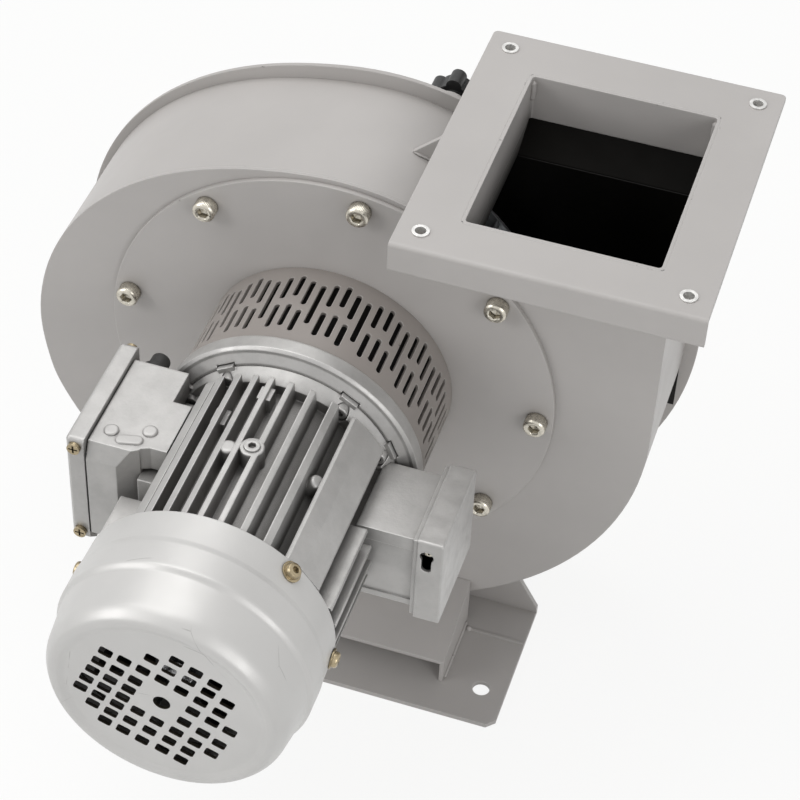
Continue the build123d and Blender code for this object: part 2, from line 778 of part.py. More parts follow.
def cover_outline(inset):
    """Fan cover section in (radius, y); inset shifts it inwards."""
    front = cover_radius_front - inset
    face = cover_face + inset
    crest = cover_ridge_radius - 0.3 * inset
    edge = cover_edge + (1 if inset else 0)
    band = front + 0.4
    raised = front + 1.0
    low = raised - cover_step
    cone = low - 1.9
    step_end = cover_step_y - 5.0
    corner = [
        (cone, cover_cone_end),
        (cone - 1.2, cover_cone_end + 0.55 * (face - cover_cone_end)),
        (cone - 3.9, cover_cone_end + 0.95 * (face - cover_cone_end)),
        (crest, face - cover_ridge_height),
    ]
    return [
        Line((0, edge), (front, edge)),
        Line((front, edge), (band, -211.0)),
        Spline((band, -211.0), (raised, -215.0), tangents=((0, -1), (0, -1))),
        Line((raised, -215.0), (raised, cover_step_y)),
        Spline((raised, cover_step_y), (low, step_end), tangents=((0, -1), (0, -1))),
        Line((low, step_end), (cone, cover_cone_end)),
        Spline(*corner, tangents=((-0.12, -1), (-1, 0))),
        Spline(
            (crest, face - cover_ridge_height),
            (crest - 5.0, face),
            tangents=((-1, 0), (-1, 0)),
        ),
        Line((crest - 5.0, face), (0, face)),
        Line((0, face), (0, edge)),
    ]


def build_cover():
    outer = revolve(make_face(cover_outline(0)), Axis.Y)
    inner = revolve(make_face(cover_outline(cover_sheet)), Axis.Y)
    cover = outer - inner
    hole = Rot(0, 0, grille_hole_turn - grille_turn) * RectangleRounded(grille_hole[0], grille_hole[1], 1.3)
    grille = [Circle(grille_centre_radius)]
    for column, heights in grille_columns:
        for height in heights:
            grille.append(Rot(0, 0, grille_turn) * Pos(column, height) * hole)
    tools = [slab(outline, cover_face - 4, cover_face + cover_sheet + 1) for outline in grille]
    for angle in cover_screw_angles:
        tools.append(radial(angle, Pos(0, cover_screw_y, 70) * Cylinder(2.8, 12)))
    save("fan_cover", cover - tools)

    screws = []
    seat = cover_radius_front + 0.45
    for angle in cover_screw_angles:
        head = Pos(0, 0, seat + 2.3) * Cylinder(4.4, 3.2)
        head = chamfer(head.edges().sort_by(Axis.Z)[-1], 0.9)
        screw = head + Pos(0, 0, seat + 0.4) * Cylinder(cover_washer_radius, 0.8)
        screw += Pos(0, 0, seat - 5.5) * Cylinder(2.5, 12.0)
        socket = RegularPolygon(1.8, 6, major_radius=False)
        screw -= Pos(0, 0, seat + 1.8) * extrude(socket, amount=4)
        screws.append(radial(angle, Pos(0, cover_screw_y, 0) * screw))
    save("cover_screws", group(screws))


def build_terminal_box():
    bx = terminal_body_x
    by = terminal_body_y
    bz = terminal_body_z
    wall = terminal_wall
    body = block(bx, by, bz)
    lower = body.edges().filter_by(Axis.X).group_by(Axis.Z)[0]
    body = chamfer(lower, 8.0)
    # the front corner towards the motor is cut off at a slant, which the neck carries on
    slant_x, slant_y = bx[1] - 11.0, by[0] + 10.0
    slant_end = slant_x + 16.0
    corner = make_face(Polyline((slant_x, by[0]), (bx[1] + 1, by[0]), (bx[1] + 1, by[0] + 7.5), close=True))
    body -= extrude(Pos(0, 0, bz[0] - 1) * corner, amount=bz[1] - bz[0] + 2)
    inside = block((bx[0] - 1, bx[1] - wall), (by[0] + wall, by[1] - wall), (bz[0] + wall, bz[1] - wall))
    inside = chamfer(inside.edges().filter_by(Axis.X), 9.5)
    corner = make_face(
        Polyline(
            (slant_x - 2.0, by[0]),
            (bx[1], by[0]),
            (bx[1], by[0] + 12.0),
            close=True,
        )
    )
    inside -= extrude(Pos(0, 0, bz[0] - 1) * corner, amount=bz[1] - bz[0] + 2)
    body -= inside
    neck = Polyline(
        (bx[1] - 1, by[0] + 7.4),
        (slant_end, slant_y),
        (terminal_shoulder_x, slant_y),
        (terminal_shoulder_x, terminal_notch_y),
        (terminal_notch_x, terminal_notch_y),
        (terminal_notch_x, by[1]),
        (bx[1] - 1, by[1]),
        close=True,
    )
    neck_base = Pos(0, 0, bz[1] - terminal_shoulder_height) * make_face(neck)
    body += extrude(neck_base, amount=terminal_shoulder_height)
    bevel = Polyline(
        (by[0] - 1.0, bz[1] - 12.8),
        (by[0] + 4.93, bz[1] + 1.0),
        (by[0] - 1.0, bz[1] + 1.0),
        close=True,
    )
    bevel = Plane.YZ * make_face(bevel)
    body -= extrude(Pos(bx[0] - 1, 0, 0) * bevel, amount=60.0)
    for x, y in ((-77.0, -135.3), (-57.5, -129.3)):
        button = Pos(x, y, bz[1] + 0.2) * Cylinder(4.1, 3.0)
        body += fillet(button.edges().sort_by(Axis.Z)[-1], 1.2)
    oval = Rot(0, 0, 14) * SlotOverall(15.0, 6.6)
    oval = extrude(Pos(-65.5, -138.8, bz[1] - 0.8) * oval, amount=2.3)
    body += fillet(oval.faces().sort_by(Axis.Z)[-1].edges(), 1.0)
    body -= rod(gland_radius + 0.1, by[1] - wall - 9, by[1] + 1, gland_x, gland_z)
    save("terminal_box", body)

    gy = (by[0] + 0.5, by[1] - 0.5)
    gz = (bz[0] + 0.5, bz[1] - 0.5)
    gasket = block((bx[0] - gasket_thickness, bx[0]), gy, gz)
    gasket = chamfer(gasket.edges().filter_by(Axis.X), 7.5)
    hole = block((bx[0] - 3, bx[0] + 1), (gy[0] + 3, gy[1] - 3), (gz[0] + 3, gz[1] - 3))
    gasket -= chamfer(hole.edges().filter_by(Axis.X), 8.5)
    save("terminal_gasket", gasket)

    lid = block(terminal_lid_x, terminal_lid_y, terminal_lid_z)
    lower = lid.edges().filter_by(Axis.X).group_by(Axis.Z)[0]
    lid = chamfer(lower, 8.0)
    upper = lid.edges().filter_by(Axis.X).group_by(Axis.Z)[-1]
    lid = fillet(upper, 2.5)
    lid = chamfer(lid.faces().sort_by(Axis.X)[0].edges(), 1.5)
    middle_x = (terminal_lid_x[0] + terminal_lid_x[1]) / 2
    heads = []
    for z in (terminal_lid_z[1] - 5.8, terminal_lid_z[0] + 12.0):
        for y, side in ((terminal_lid_y[0], -1), (terminal_lid_y[1], 1)):
            lid -= rod(1.75, min(y, y - side * 6), max(y, y - side * 6), middle_x, z)
            screw = rod(3.6, min(y, y + side * 2.4), max(y, y + side * 2.4), middle_x, z)
            screw += rod(1.7, min(y, y - side * 5), max(y, y - side * 5), middle_x, z)
            cut = Pos(middle_x, y + side * 2.0, z) * Box(5.2, 1.8, 1.0)
            cross = Pos(middle_x, y + side * 2.0, z) * Box(1.0, 1.8, 5.2)
            heads.append(screw - cut - cross)
    save("terminal_lid", lid)
    save("terminal_lid_screws", group(heads))

    base = block((-72.0, bx[1] - wall), (-138.0, -92.0), (-4.0, 28.0))
    studs = []
    for y in (-130.0, -115.0, -100.0):
        for z in (4.0, 20.0):
            studs.append(Pos(-74.0, y, z) * Rot(0, 90, 0) * Cylinder(2.0, 8.0))
            studs.append(Pos(-73.5, y, z) * Rot(0, 90, 0) * Cylinder(3.6, 3.0))
    for stud in studs:
        base += stud
    save("terminal_block", base)

    gland = rod(gland_radius, by[1] - wall - 2, by[1] + 2, gland_x, gland_z)
    gland += rod(gland_radius + 2.0, by[1], by[1] + 4.0, gland_x, gland_z)
    gland += rod(gland_radius, by[1] + 3.0, by[1] + 14.0, gland_x, gland_z)
    end = gland.edges().filter_by(GeomType.CIRCLE).sort_by(Axis.Y)[-1]
    gland = fillet(end, 2.0)
    gland -= rod(2.8, by[1] - 8, by[1] + 20, gland_x, gland_z)
    save("cable_gland", gland)


def build_capacitor_box():
    bx = capacitor_body_x
    by = capacitor_body_y
    bz = capacitor_body_z
    wall = capacitor_wall
    body = block(bx, by, bz)
    inside = block((bx[0] + wall, bx[1] + 1), (by[0] + wall, by[1] - wall), (bz[0] + wall, bz[1] - wall))
    rim_y = (capacitor_lid_y[0] + 1.5, capacitor_lid_y[1] - 1.5)
    rim_z = (capacitor_lid_z[0] + 1.5, capacitor_lid_z[1] - 1.5)
    body += block((capacitor_lid_x[0] - 2.5, capacitor_lid_x[0]), rim_y, rim_z)
    body -= inside
    recess_z = (bz[0] + 4.0, bz[1] - 9.0)
    body -= block((bx[0] + 3.0, bx[1] - 2.5), (by[0] - 1, by[0] + 0.9), recess_z)
    screw_x = capacitor_lid_x[0] + 5.5
    screw_z = 11.0
    tab = block((bx[1] - 2, screw_x + 5), (by[0] + wall, by[0] + wall + 3), (screw_z - 6, screw_z + 6))
    tab_root = block((bx[1] - 8, bx[1]), (by[0] + 1, by[0] + wall + 3), (screw_z - 6, screw_z + 6))
    body = body + tab + tab_root
    body -= rod(2.05, by[0] - 2, by[0] + wall + 4, screw_x, screw_z)
    save("capacitor_box", body)

    lid = block(capacitor_lid_x, capacitor_lid_y, capacitor_lid_z)
    lid = fillet(lid.edges().filter_by(Axis.X), 1.5)
    outer_face = lid.faces().sort_by(Axis.X)[-1]
    lid = fillet(outer_face.edges(), 1.0)
    ly = (capacitor_lid_y[0] + 2, capacitor_lid_y[1] - 2)
    lz = (capacitor_lid_z[0] + 2, capacitor_lid_z[1] - 2)
    lid -= block((capacitor_lid_x[0] - 1, capacitor_lid_x[1] - 2), ly, lz)
    keyhole = Pos(screw_x, screw_z) * Circle(3.9) + Pos(screw_x, screw_z - 4.6) * Rectangle(5.6, 8.0)
    keyhole += Pos(screw_x, screw_z - 8.6) * Circle(2.8)
    lid -= slab(keyhole, capacitor_lid_y[0] - 1, capacitor_lid_y[0] + 3)
    save("capacitor_lid", lid)

    head_y = by[0] + wall
    screw = rod(3.4, head_y - 2.2, head_y, screw_x, screw_z)
    screw += rod(2.0, head_y - 1, head_y + 6, screw_x, screw_z)
    screw -= Pos(screw_x, head_y - 2.15, screw_z) * Box(5.2, 1.7, 0.9)
    screw -= Pos(screw_x, head_y - 2.15, screw_z) * Box(0.9, 1.7, 5.2)
    save("capacitor_lid_screw", screw)

    centre_x = (bx[0] + bx[1]) / 2 + 1
    centre_z = (bz[0] + bz[1]) / 2
    can = rod(14.0, by[0] + wall + 3.2, by[1] - wall, centre_x, centre_z)
    can = fillet(can.edges().filter_by(GeomType.CIRCLE).sort_by(Axis.Y)[0], 2.0)
    save("capacitor", can)


def build_impeller():
    back = impeller_back
    disc_high = back + impeller_sheet
    save("impeller_disc", tube(impeller_radius, shaft_radius + 3.0, back, disc_high))
    front_low = impeller_front - impeller_sheet
    save("impeller_ring", tube(impeller_radius, blade_inner_radius - 2.0, front_low, impeller_front))

    chord = impeller_radius - 1.0 - blade_inner_radius
    bow = chord * 0.62
    blades = []
    for i in range(blade_count):
        arc = CenterArc((0, 0), bow, -62, 124)
        inner = CenterArc((0, 0), bow - blade_sheet, -62, 124)
        edges = [
            arc,
            Line(arc @ 1, inner @ 1),
            inner,
            Line(inner @ 0, arc @ 0),
        ]
        face = make_face(edges)
        low_point = (arc @ 0 + inner @ 0) * 0.5
        face = Pos(-low_point.X, blade_inner_radius + chord / 2) * face
        blade = slab(face, disc_high, front_low)
        blades.append(radial(360 / blade_count * i, blade))
    save("impeller_blades", group(blades))

    hub_bore = shaft_radius + 0.02
    hub = rod(hub_radius, disc_high, 50.0) + rod(hub_flange_radius, disc_high, disc_high + 5.0)
    hub -= rod(hub_bore, disc_high - 1, 51.0)
    hub -= block((-3.05, 3.05), (disc_high - 1, 51.0), (0, shaft_radius + 2.8))
    for i in range(6):
        x, z = along(60 * i, 29.0)
        hub -= rod(2.6, disc_high - 1, disc_high + 6, x, z)
    save("impeller_hub", hub)
    rivets = []
    for i in range(6):
        x, z = along(60 * i, 29.0)
        rivet = rod(2.5, disc_high, disc_high + 6, x, z)
        rivet += rod(4.5, disc_high + 5.0, disc_high + 7.0, x, z)
        rivets.append(rivet)
    save("hub_rivets", group(rivets))
    save("hub_key", block((-3.0, 3.0), (22.0, 48.0), (shaft_radius - 2.95, shaft_radius + 2.6)))
    save("impeller_washer", tube(14.0, m8_radius + 0.2, 50.0, 52.5))
    bolt = hexagon_rod(13, 52.5, 58.0) + rod(m8_radius, 29.0, 53.0)
    save("impeller_bolt", bolt)


def build_stand():
    bottom = -shaft_height
    top = bottom + foot_sheet
    foot = block((-foot_half_width, foot_half_width), (foot_front, foot_back), (bottom, top))
    corners = foot.edges().filter_by(Axis.Z).sort_by(Axis.Y)[:2]
    foot = chamfer(corners, 5.0)
    for x in (-foot_hole_x, foot_hole_x):
        foot -= Pos(x, foot_hole_y, bottom) * Cylinder(foot_hole_radius, 20)
    for side in (-1, 1):
        near = side * (pedestal_half_width + 1.0)
        far = side * foot_half_width
        seam = block((min(near, far), max(near, far)), (-8.6, -6.6), (top - 0.5, top + 0.8))
        foot += seam
        foot += Pos(near + side * 2.0, -7.6, top) * Sphere(1.9)
    reach = foot_half_width + 8
    foot = foot & block((-reach, reach), (foot_front - 15, foot_back + 68), (bottom, top + 5))
    save("foot_plate", foot)

    edge_z = -math.sqrt(scroll_radius_max ** 2 - web_top_x ** 2)
    right = [
        (foot_half_width, top),
        (foot_half_width, top + 4.0),
        (web_top_x + 7.0, bottom + 30.0),
        (web_top_x + 1.0, edge_z + 1.0),
    ]
    left = [(-x, z) for x, z in reversed(right)]
    web = make_face(Polyline(*(right + left), close=True)) - Circle(scroll_radius_max + 0.02)
    save("rear_web", slab(web, foot_back - foot_sheet, foot_back))

    half = pedestal_half_width
    front_top = top + pedestal_slot
    rear_top = top + pedestal_rear_height
    side = make_face(
        Polyline((pedestal_front, top), (pedestal_front, front_top), (0, rear_top), (0, top), close=True)
    )
    outer = extrude(Plane.YZ.offset(-half) * side, amount=2 * half)
    t = pedestal_sheet
    hollow = make_face(
        Polyline(
            (pedestal_front - 2, top - 1),
            (pedestal_front - 2, front_top - t - 0.7),
            (1, rear_top - t),
            (1, top - 1),
            close=True,
        )
    )
    inner = extrude(Plane.YZ.offset(-half + t) * hollow, amount=2 * (half - t))
    save("pedestal", outer - inner)


build_casing()
build_outlet()
build_inlet()
build_damper()
build_mount_disc()
build_ring()
build_bearings()
build_drive_end_shield()
build_motor_frame()
build_motor_inside()
build_cover()
build_terminal_box()
build_capacitor_box()
build_impeller()
build_stand()
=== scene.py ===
import json
import math
import random

import bmesh
import bpy
from mathutils import Matrix, Vector


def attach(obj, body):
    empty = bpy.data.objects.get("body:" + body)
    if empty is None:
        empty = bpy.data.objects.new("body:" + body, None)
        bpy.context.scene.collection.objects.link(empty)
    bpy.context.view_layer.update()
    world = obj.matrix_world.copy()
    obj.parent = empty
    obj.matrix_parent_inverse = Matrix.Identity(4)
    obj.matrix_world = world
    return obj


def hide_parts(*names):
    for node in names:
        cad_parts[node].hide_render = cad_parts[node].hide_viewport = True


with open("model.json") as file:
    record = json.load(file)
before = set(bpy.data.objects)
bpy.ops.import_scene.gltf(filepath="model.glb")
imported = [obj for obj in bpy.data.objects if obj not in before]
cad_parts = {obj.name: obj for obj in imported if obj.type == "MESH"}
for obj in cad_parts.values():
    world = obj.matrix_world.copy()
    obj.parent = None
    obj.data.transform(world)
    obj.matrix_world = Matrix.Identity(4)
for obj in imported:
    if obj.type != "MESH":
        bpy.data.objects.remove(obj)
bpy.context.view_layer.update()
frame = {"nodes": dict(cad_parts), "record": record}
nodes = frame["nodes"]
shaftZ = 0.193  # height of the shaft above the floor
print("frame loaded:", len(nodes), "nodes")


# small node helpers

def startMaterial(name):
    material = bpy.data.materials.new(name)
    material.use_nodes = True
    tree = material.node_tree
    tree.nodes.clear()
    out = tree.nodes.new("ShaderNodeOutputMaterial")
    shader = tree.nodes.new("ShaderNodeBsdfPrincipled")
    tree.links.new(shader.outputs["BSDF"], out.inputs["Surface"])
    return material, tree, shader


def addNode(tree, kind, **values):
    node = tree.nodes.new(kind)
    for key, value in values.items():
        setattr(node, key, value)
    return node


def feed(tree, source, target):
    if isinstance(source, (int, float, tuple)):
        target.default_value = source
    else:
        tree.links.new(source, target)


def noiseOf(tree, scale, detail=3.0, rough=0.55, stretch=(1, 1, 1), offset=(0, 0, 0)):
    place = addNode(tree, "ShaderNodeTexCoord")
    mapping = addNode(tree, "ShaderNodeMapping")
    mapping.inputs["Scale"].default_value = stretch
    mapping.inputs["Location"].default_value = offset
    tree.links.new(place.outputs["Object"], mapping.inputs["Vector"])
    noise = addNode(tree, "ShaderNodeTexNoise")
    noise.inputs["Scale"].default_value = scale
    noise.inputs["Detail"].default_value = detail
    noise.inputs["Roughness"].default_value = rough
    tree.links.new(mapping.outputs["Vector"], noise.inputs["Vector"])
    return noise.outputs["Fac"]


def ramp(tree, value, low, high, toLow=0.0, toHigh=1.0):
    node = addNode(tree, "ShaderNodeMapRange")
    node.interpolation_type = "SMOOTHSTEP"
    node.inputs["From Min"].default_value = low
    node.inputs["From Max"].default_value = high
    node.inputs["To Min"].default_value = toLow
    node.inputs["To Max"].default_value = toHigh
    feed(tree, value, node.inputs["Value"])
    return node.outputs["Result"]


def mathOf(tree, operation, a, b=0.0):
    node = addNode(tree, "ShaderNodeMath", operation=operation)
    feed(tree, a, node.inputs[0])
    feed(tree, b, node.inputs[1])
    return node.outputs[0]


def mixColour(tree, amount, a, b):
    node = addNode(tree, "ShaderNodeMix", data_type="RGBA")
    feed(tree, amount, node.inputs[0])
    feed(tree, a, node.inputs[6])
    feed(tree, b, node.inputs[7])
    return node.outputs[2]


def rgba(colour, gain=1.0):
    return (colour[0] * gain, colour[1] * gain, colour[2] * gain, 1.0)


def edgeMask(tree, radius):
    # how far the surface turns away within the radius: 0 on flats, 1 on sharp edges
    bevel = addNode(tree, "ShaderNodeBevel", samples=6)
    bevel.inputs["Radius"].default_value = radius
    geometry = addNode(tree, "ShaderNodeNewGeometry")
    dot = addNode(tree, "ShaderNodeVectorMath", operation="DOT_PRODUCT")
    tree.links.new(bevel.outputs["Normal"], dot.inputs[0])
    tree.links.new(geometry.outputs["Normal"], dot.inputs[1])
    return ramp(tree, dot.outputs["Value"], 0.985, 0.85)


def cornerShadeMask(tree, distance):
    # painted shade: 1 in corners and gaps that an occlusion test finds close to other surfaces
    cavity = addNode(tree, "ShaderNodeAmbientOcclusion", samples=6)
    cavity.inputs["Distance"].default_value = distance
    return ramp(tree, cavity.outputs["AO"], 0.75, 0.2)


def bumpOf(tree, shader, layers, bevelRadius):
    # layers: (value, distance in metres)
    normal = addNode(tree, "ShaderNodeBevel", samples=6)
    normal.inputs["Radius"].default_value = bevelRadius
    last = normal.outputs["Normal"]
    for value, distance in layers:
        bump = addNode(tree, "ShaderNodeBump")
        bump.inputs["Strength"].default_value = 1.0
        bump.inputs["Distance"].default_value = distance
        feed(tree, value, bump.inputs["Height"])
        tree.links.new(last, bump.inputs["Normal"])
        last = bump.outputs["Normal"]
    tree.links.new(last, shader.inputs["Normal"])


# masks for the sides that face into the casing, where shade is painted near black

casingPlaces = {
    "rimFromDegrees": 95, "rimToDegrees": 207, "rimRadii": (0.136, 0.188), "rimStep": 0.001,
    "mouthX": (0.077, 0.187), "mouthBottom": -0.05,
    "openingCentre": (0.1305, 0.04255), "cornerHalf": (0.0528, 0.0656), "notchRadii": (0.0013, 0.0009),
    "ragged": 0.0006, "leftWallX": 0.1, "fadeHeights": (0.337, 0.298), "fadeMost": 0.97,
    "ringRadii": (0.0718, 0.0712), "grilleRadius": 0.055,
}


def times(tree, a, b):
    return mathOf(tree, "MULTIPLY", a, b)


def either(tree, a, b):
    return mathOf(tree, "MAXIMUM", a, b)


def lengthOf(tree, a, b):
    return mathOf(tree, "SQRT", mathOf(tree, "ADD", times(tree, a, a), times(tree, b, b)))


def placeAndNormal(tree):
    geometry = addNode(tree, "ShaderNodeNewGeometry")
    place = addNode(tree, "ShaderNodeSeparateXYZ")
    tree.links.new(geometry.outputs["Position"], place.inputs[0])
    facing = addNode(tree, "ShaderNodeSeparateXYZ")
    tree.links.new(geometry.outputs["True Normal"], facing.inputs[0])
    return place.outputs, facing.outputs


def heightOverShaft(tree, place):
    return mathOf(tree, "SUBTRACT", place[2], shaftZ)


def distanceFromShaft(tree, place):
    return lengthOf(tree, place[0], heightOverShaft(tree, place))


def facesShaft(tree):
    # 1 where a sheet looks towards the shaft; shade is painted near black there
    place, facing = placeAndNormal(tree)
    outward = mathOf(tree, "ADD", times(tree, place[0], facing[0]),
                     times(tree, heightOverShaft(tree, place), facing[2]))
    return ramp(tree, outward, -0.005, -0.02)


def facesInlet(tree):
    # 1 on faces that look back into the casing, where shade is painted near black
    place, facing = placeAndNormal(tree)
    return ramp(tree, facing[1], 0.4, 0.6)


def facesMotorInsideScroll(tree):
    # the back plate's inner face, without the rim that stands out past the wrapper, and its top edge in the
    # mouth; shade is painted near black there
    place, facing = placeAndNormal(tree)
    height = heightOverShaft(tree, place)
    angle = mathOf(tree, "ARCTAN2", height, place[0])
    fullTurn = times(tree, mathOf(tree, "LESS_THAN", angle, -0.1), 2 * math.pi)
    innerRim, outerRim = casingPlaces["rimRadii"]
    edge = ramp(tree, mathOf(tree, "ADD", angle, fullTurn), math.radians(casingPlaces["rimFromDegrees"]),
                math.radians(casingPlaces["rimToDegrees"]), innerRim, outerRim)
    within = mathOf(tree, "LESS_THAN", distanceFromShaft(tree, place),
                    mathOf(tree, "SUBTRACT", edge, casingPlaces["rimStep"]))
    mouthLeft, mouthRight = casingPlaces["mouthX"]
    inMouth = times(tree, mathOf(tree, "GREATER_THAN", place[0], mouthLeft),
                    mathOf(tree, "LESS_THAN", place[0], mouthRight))
    mouthWall = times(tree, inMouth, mathOf(tree, "GREATER_THAN", height, casingPlaces["mouthBottom"]))
    innerFace = times(tree, ramp(tree, facing[1], -0.4, -0.6), either(tree, within, mouthWall))
    topEdge = times(tree, inMouth, mathOf(tree, "GREATER_THAN", facing[2], 0.7))
    return either(tree, innerFace, topEdge)


def fadesOnLeftWall(tree):
    # painted shade on the duct's left wall, from paint at the top to black further down
    place, facing = placeAndNormal(tree)
    leftWall = times(tree, mathOf(tree, "GREATER_THAN", facing[0], 0.5),
                     mathOf(tree, "LESS_THAN", place[0], casingPlaces["leftWallX"]))
    top, bottom = casingPlaces["fadeHeights"]
    return times(tree, ramp(tree, place[2], top, bottom, 0.0, casingPlaces["fadeMost"]), leftWall)


def openingCorners(tree):
    # painted shade: small dark notches at the four corners of the flange's opening, in place of the shaded
    # relief holes
    place, facing = placeAndNormal(tree)
    past = []
    for axis in (0, 1):
        fromCentre = mathOf(tree, "SUBTRACT", place[axis], casingPlaces["openingCentre"][axis])
        past.append(mathOf(tree, "SUBTRACT", mathOf(tree, "ABSOLUTE", fromCentre),
                           casingPlaces["cornerHalf"][axis]))
    ragged = casingPlaces["ragged"]
    raggedGap = mathOf(tree, "ADD", lengthOf(tree, *past),
                       ramp(tree, noiseOf(tree, 900.0), 0.3, 0.7, -ragged, ragged))
    outer, inner = casingPlaces["notchRadii"]
    return ramp(tree, raggedGap, outer, inner)


def facesDuct(tree):
    # painted shade on the transition's inner walls; the one on the left keeps a little light at its top
    place, facing = placeAndNormal(tree)
    centreX, centreY = casingPlaces["openingCentre"]
    fromX = times(tree, mathOf(tree, "SUBTRACT", place[0], centreX), facing[0])
    fromY = times(tree, mathOf(tree, "SUBTRACT", place[1], centreY), facing[1])
    inner = ramp(tree, mathOf(tree, "ADD", fromX, fromY), -0.002, -0.01)
    top, bottom = casingPlaces["fadeHeights"]
    otherWall = mathOf(tree, "SUBTRACT", 1.0, mathOf(tree, "GREATER_THAN", facing[0], 0.5))
    return times(tree, inner, either(tree, ramp(tree, place[2], top, bottom), otherWall))


def withinRing(tree):
    # the part of the disc inside the slotted ring, where shade is painted near black
    place, facing = placeAndNormal(tree)
    outer, inner = casingPlaces["ringRadii"]
    return ramp(tree, distanceFromShaft(tree, place), outer, inner)


def grilleWalls(tree):
    # painted shade on the cut edges of the cover's grille, and on the cover's inside
    place, facing = placeAndNormal(tree)
    sideways = mathOf(tree, "LESS_THAN", mathOf(tree, "ABSOLUTE", facing[1]), 0.5)
    close = mathOf(tree, "LESS_THAN", distanceFromShaft(tree, place), casingPlaces["grilleRadius"])
    hidden = mathOf(tree, "GREATER_THAN", facing[1], 0.3)
    return either(tree, times(tree, sideways, close), hidden)


# finishes; a look's lengths are in metres

def mottledTone(tree, value, look, darker, lighter, low=0.3, high=0.7):
    return mixColour(tree, ramp(tree, value, low, high), rgba(look["colour"], darker),
                     rgba(look["colour"], lighter))


def withEdgeHighlight(tree, look, under):
    # painted highlight along the edges, partly also paint rubbed off them
    amount = times(tree, edgeMask(tree, look["edgeWidth"]), look["edgeHighlight"])
    return mixColour(tree, amount, under, rgba(look["edgeColour"]))


def withCornerShade(tree, look, reach, under):
    # painted shade: darker in corners and gaps
    return mixColour(tree, times(tree, cornerShadeMask(tree, reach), look["cornerShade"]), under, rgba(look["cornerShadeColour"]))


def withChips(tree, look, under):
    spots = ramp(tree, noiseOf(tree, look["chipScale"], 5.0, 0.7), look["chipFrom"], look["chipFrom"] + 0.03)
    chips = times(tree, spots, edgeMask(tree, look["chipWidth"]))
    return mixColour(tree, chips, under, rgba(look["chipColour"]))


def withScratches(tree, look, under):
    # thin lines that show only in patches
    cells = addNode(tree, "ShaderNodeTexVoronoi", feature="DISTANCE_TO_EDGE")
    cells.inputs["Scale"].default_value = look["scratchScale"]
    place = addNode(tree, "ShaderNodeTexCoord")
    tree.links.new(place.outputs["Object"], cells.inputs["Vector"])
    line = ramp(tree, cells.outputs["Distance"], look["scratchWidth"], 0.0)
    sparse = ramp(tree, noiseOf(tree, 26.0, 3.0, offset=(0.3, 0.7, 0.1)), 0.6, 0.66)
    amount = times(tree, line, times(tree, sparse, look["scratchDepth"]))
    return mixColour(tree, amount, under, rgba(look["chipColour"]))


def unevenRoughness(tree, shader, look, value, smoother, rougher, low=0.3, high=0.7):
    roughness = ramp(tree, value, low, high, look["roughness"] - smoother, look["roughness"] + rougher)
    tree.links.new(roughness, shader.inputs["Roughness"])


def powderCoat(name, look, inside=None):
    # inside: the mask of the inner faces, where shade is painted near black
    material, tree, shader = startMaterial(name)
    mottled = noiseOf(tree, look["mottleScale"], 4.0)
    colour = mottledTone(tree, mottled, look, 0.96, 1.04)
    colour = withCornerShade(tree, look, 0.012, withEdgeHighlight(tree, look, colour))
    colour = withChips(tree, look, colour)
    if "scratchScale" in look:
        colour = withScratches(tree, look, colour)
    if inside:
        # painted shade: near black on the faces inside the casing
        insideShade = mixColour(tree, ramp(tree, mottled, 0.3, 0.7), rgba(look["insideShadeColour"], 0.7),
                         rgba(look["insideShadeColour"], 1.3))
        colour = mixColour(tree, inside(tree), colour, insideShade)
    tree.links.new(colour, shader.inputs["Base Color"])
    shader.inputs["Specular IOR Level"].default_value = look["specular"]
    unevenRoughness(tree, shader, look, noiseOf(tree, 35.0, 2.0), 0.04, 0.05)
    shader.inputs["Metallic"].default_value = look["metallic"]
    shader.inputs["Coat Weight"].default_value = look["coat"]
    shader.inputs["Coat Roughness"].default_value = 0.35
    bumpOf(tree, shader, [
        (noiseOf(tree, 1400.0, 2.0), look["peel"]),
        (noiseOf(tree, 18.0, 2.0), look["wave"]),
    ], look["bevel"])
    return material


def castMetal(name, look):
    material, tree, shader = startMaterial(name)
    colour = mottledTone(tree, noiseOf(tree, 45.0, 5.0, 0.65), look, 0.9, 1.06)
    specks = ramp(tree, noiseOf(tree, 900.0, 3.0, 0.7), 0.62, 0.72)
    colour = mixColour(tree, times(tree, specks, 0.35), colour, rgba(look["colour"], 0.55))
    colour = withCornerShade(tree, look, look["cornerShadeReach"], withEdgeHighlight(tree, look, colour))
    tree.links.new(colour, shader.inputs["Base Color"])
    unevenRoughness(tree, shader, look, noiseOf(tree, 120.0, 3.0), 0.06, 0.08)
    shader.inputs["Metallic"].default_value = look["metallic"]
    bumpOf(tree, shader, [
        (noiseOf(tree, 700.0, 3.0, 0.6), look["grain"]),
        (noiseOf(tree, 60.0, 3.0), look["lumps"]),
    ], look["bevel"])
    return material


def plated(name, look):
    material, tree, shader = startMaterial(name)
    colour = mottledTone(tree, noiseOf(tree, 300.0, 4.0, 0.6), look, 0.82, 1.08, 0.35, 0.65)
    tree.links.new(withCornerShade(tree, look, 0.003, colour), shader.inputs["Base Color"])
    unevenRoughness(tree, shader, look, noiseOf(tree, 500.0, 3.0), 0.07, 0.1)
    shader.inputs["Metallic"].default_value = look["metallic"]
    bumpOf(tree, shader, [(noiseOf(tree, 1500.0, 2.0), 0.00002)], look["bevel"])
    return material


